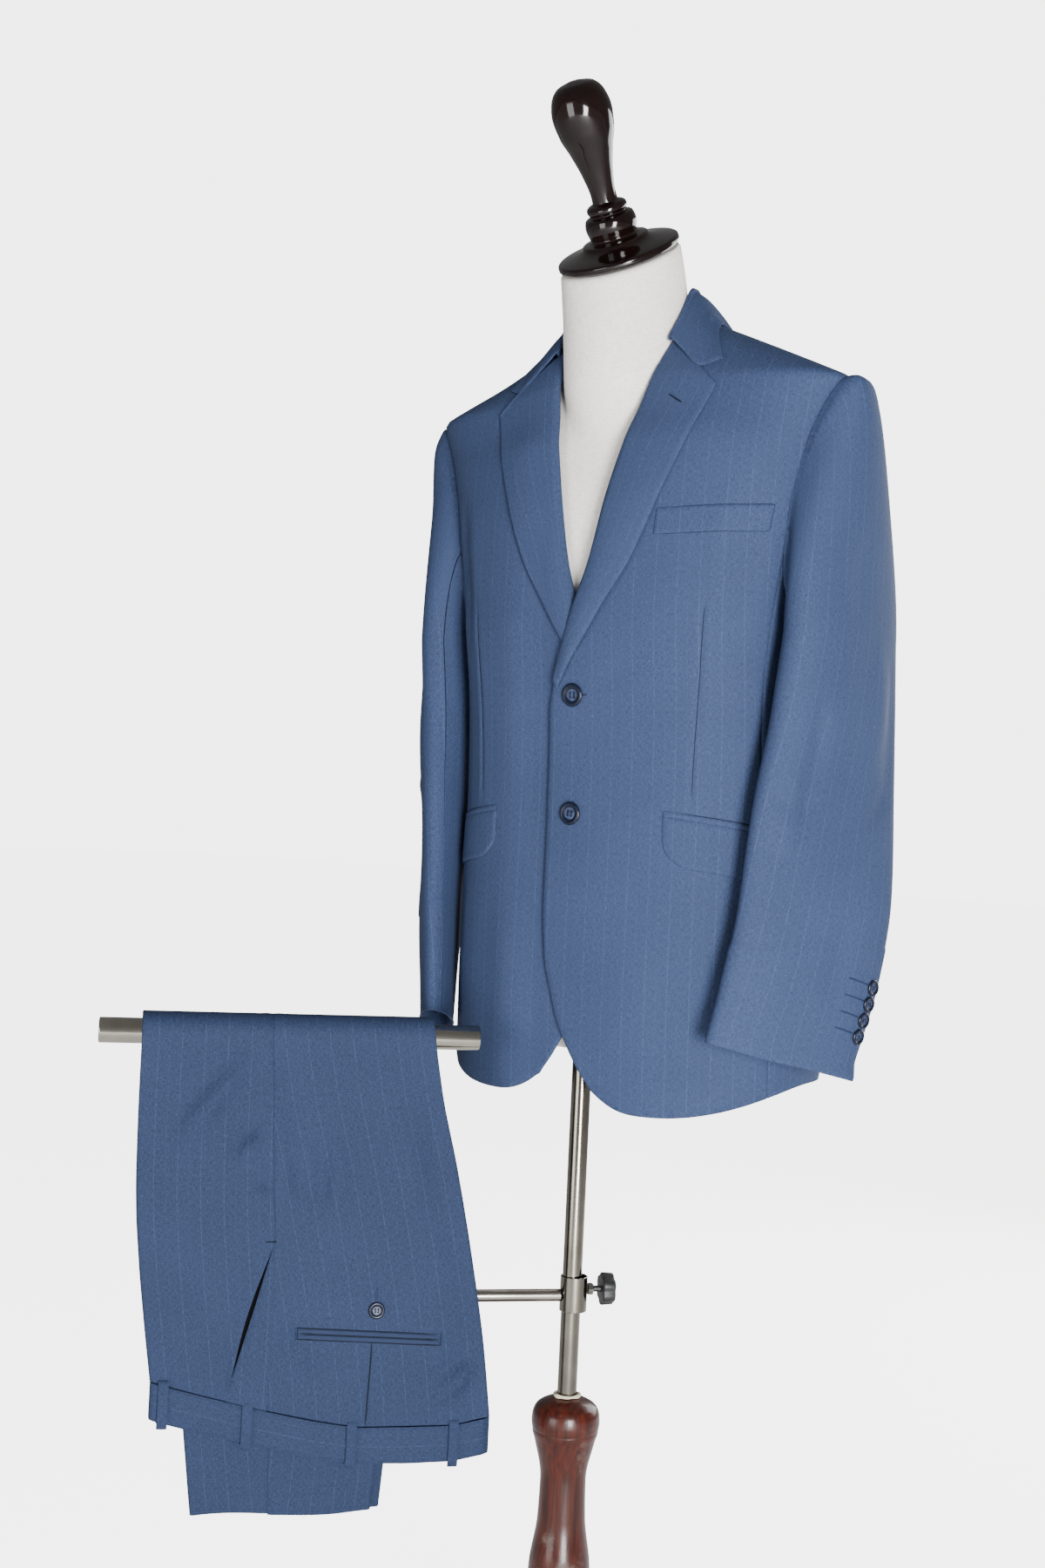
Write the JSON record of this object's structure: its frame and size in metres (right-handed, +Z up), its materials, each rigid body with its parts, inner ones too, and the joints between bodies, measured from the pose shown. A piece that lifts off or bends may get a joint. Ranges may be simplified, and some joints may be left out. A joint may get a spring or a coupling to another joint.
{
  "type": "two-piece suit on a dress form",
  "caption": "Pinstriped jacket buttoned on a limbless dress form with a round stand, and the matching trousers folded over the stand's swivelling rail.",
  "frame": {"origin": "centre of the round foot, on the floor under the pole", "axes": "+Z up along the pole, -Y towards the front of the jacket, +X towards the wearer's left"},
  "size_m": [0.5969, 0.5741, 1.6572],
  "materials": {
    "suiting": "matt worsted cloth, pinstriped",
    "form_cotton": "matt cotton cover",
    "lacquered_wood": "gloss lacquer",
    "post_wood": "worn satin varnish",
    "nickel_steel": "polished nickel plate",
    "knob_plastic": "moulded black plastic",
    "button_resin": "polished resin"
  },
  "bodies": {
    "stand": {"breast_welt": "suiting", "collar": "suiting", "cuff_button_left_1": "button_resin", "cuff_button_left_2": "button_resin", "cuff_button_left_3": "button_resin", "cuff_button_left_4": "button_resin", "cuff_button_right_1": "button_resin", "cuff_button_right_2": "button_resin", "cuff_button_right_3": "button_resin", "cuff_button_right_4": "button_resin", "finial": "lacquered_wood", "form_torso": "form_cotton", "front_button_1": "button_resin", "front_button_2": "button_resin", "jacket_back_left": "suiting", "jacket_back_right": "suiting", "jacket_front_left": "suiting", "jacket_front_right": "suiting", "jacket_side_left": "suiting", "jacket_side_right": "suiting", "lapel_left": "suiting", "lapel_right": "suiting", "pocket_flap_left": "suiting", "pocket_flap_right": "suiting", "pocket_jet_left": "suiting", "pocket_jet_right": "suiting", "pole": "nickel_steel", "post_ring": "form_cotton", "stand_foot": "post_wood", "stand_post": "post_wood", "top_sleeve_left": "suiting", "top_sleeve_right": "suiting", "under_sleeve_left": "suiting", "under_sleeve_right": "suiting"},
    "rail": {"rail_clamp": "nickel_steel", "clamp_nut": "nickel_steel", "rail_arm": "nickel_steel", "trouser_rail": "nickel_steel", "waistband": "suiting", "back_button_left": "button_resin", "back_button_right": "button_resin", "back_pocket_left": "suiting", "back_pocket_right": "suiting", "belt_loop_left_1": "suiting", "belt_loop_left_2": "suiting", "belt_loop_left_3": "suiting", "belt_loop_left_4": "suiting", "belt_loop_right_1": "suiting", "belt_loop_right_2": "suiting", "belt_loop_right_3": "suiting", "belt_loop_right_4": "suiting", "pocket_facing_left": "suiting", "pocket_facing_right": "suiting", "trouser_back_left": "suiting", "trouser_back_right": "suiting", "trouser_front_left": "suiting", "trouser_front_right": "suiting"},
    "knob": {"clamp_knob": "knob_plastic"}
  },
  "joints": [
    {"name": "rail_swivel", "type": "hinge", "parent": "stand", "child": "rail", "pos_m": [0, 0, 0.48], "axis": [0, 0, 1], "range_deg": [-15, 95]},
    {"name": "knob_turn", "type": "hinge", "parent": "rail", "child": "knob", "pos_m": [0.0275, 0.029, 0.484], "axis": [0.6884, 0.7254, 0], "continuous": true}
  ]
}
